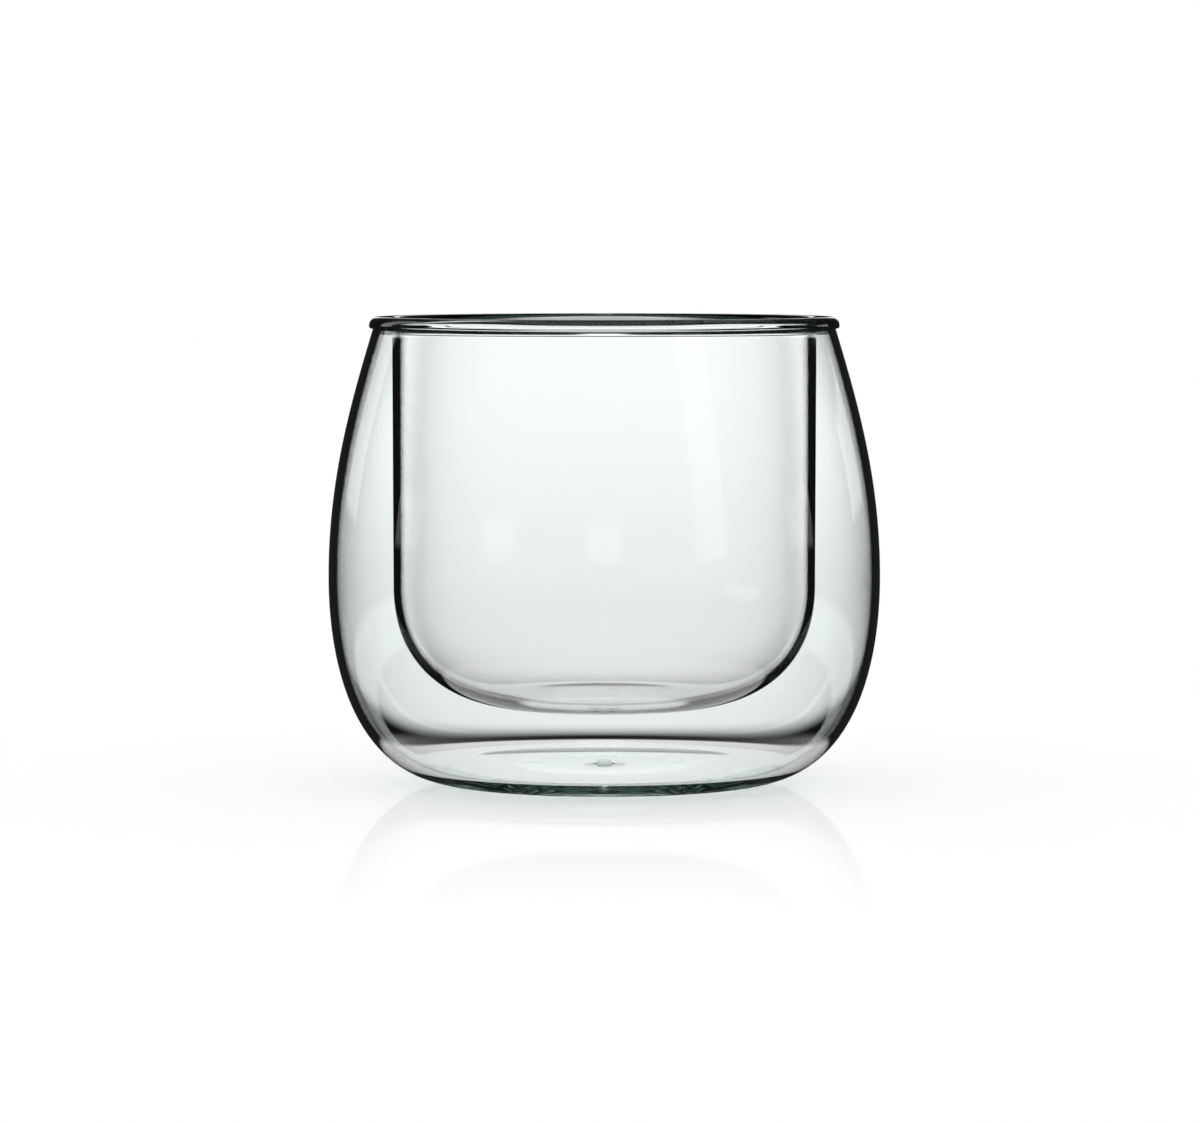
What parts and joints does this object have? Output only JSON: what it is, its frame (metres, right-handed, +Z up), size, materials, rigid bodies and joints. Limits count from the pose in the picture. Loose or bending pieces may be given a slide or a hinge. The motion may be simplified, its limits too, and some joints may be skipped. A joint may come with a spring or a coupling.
{
  "type": "verrine glass",
  "caption": "Round-bellied double-wall glass cup for small desserts or drinks: an inner bowl hung from a fused rim inside an outer bowl, with a plugged vent in its base.",
  "frame": {"origin": "centre of the foot ring, on the table plane", "axes": "+Z up along the axis of revolution, through the mouth; the glass looks the same from every side, so +X and +Y are free"},
  "size_m": [0.076, 0.076, 0.0642],
  "materials": {
    "outer_glass": "fire-polished clear borosilicate glass",
    "inner_glass": "fire-polished clear borosilicate glass",
    "rim_glass": "flame-fused clear borosilicate glass",
    "silicone": "matt translucent silicone"
  },
  "bodies": {
    "root": {"outer_bowl": "outer_glass", "inner_bowl": "inner_glass", "rim_bead": "rim_glass", "vent_plug": "silicone"}
  },
  "joints": []
}
